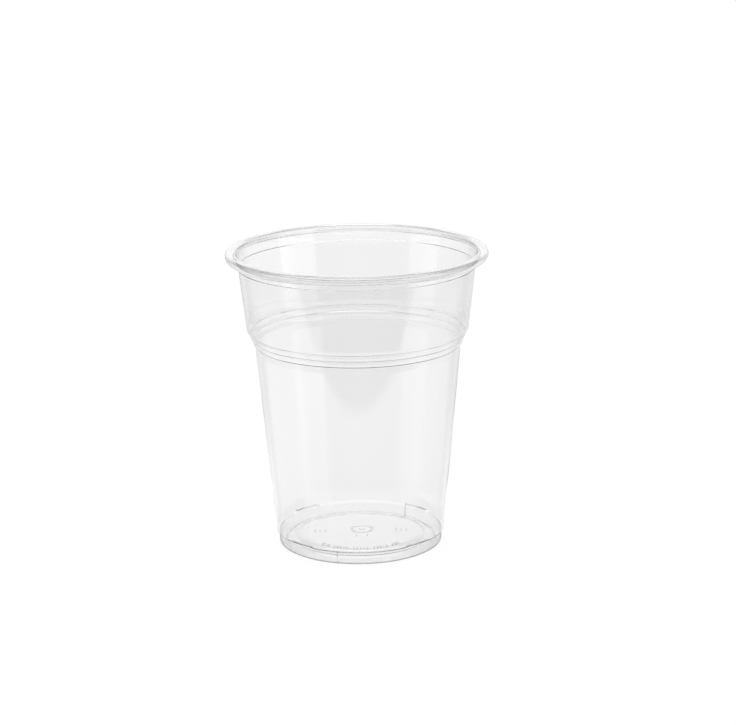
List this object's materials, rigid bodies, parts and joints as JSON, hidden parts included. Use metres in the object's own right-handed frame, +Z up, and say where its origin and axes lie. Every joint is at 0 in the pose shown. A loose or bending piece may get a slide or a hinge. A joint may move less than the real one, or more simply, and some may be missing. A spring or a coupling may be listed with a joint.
{
  "type": "clear plastic disposable cup",
  "caption": "Tapered clear drinking cup in one thin sheet, with a rolled rim, a wide skirt, a stepped ringed shoulder and a recessed stacking foot.",
  "frame": {"origin": "centre of the standing ring, on the surface that the cup stands on", "axes": "+Z up along the cup's axis to the mouth; -Y is the side that the picture shows"},
  "size_m": [0.095, 0.095, 0.1098],
  "materials": {
    "clear_plastic": "clear glossy moulded polypropylene, faintly hazy, uncoloured"
  },
  "bodies": {
    "root": {"cup": "clear_plastic"}
  },
  "joints": []
}
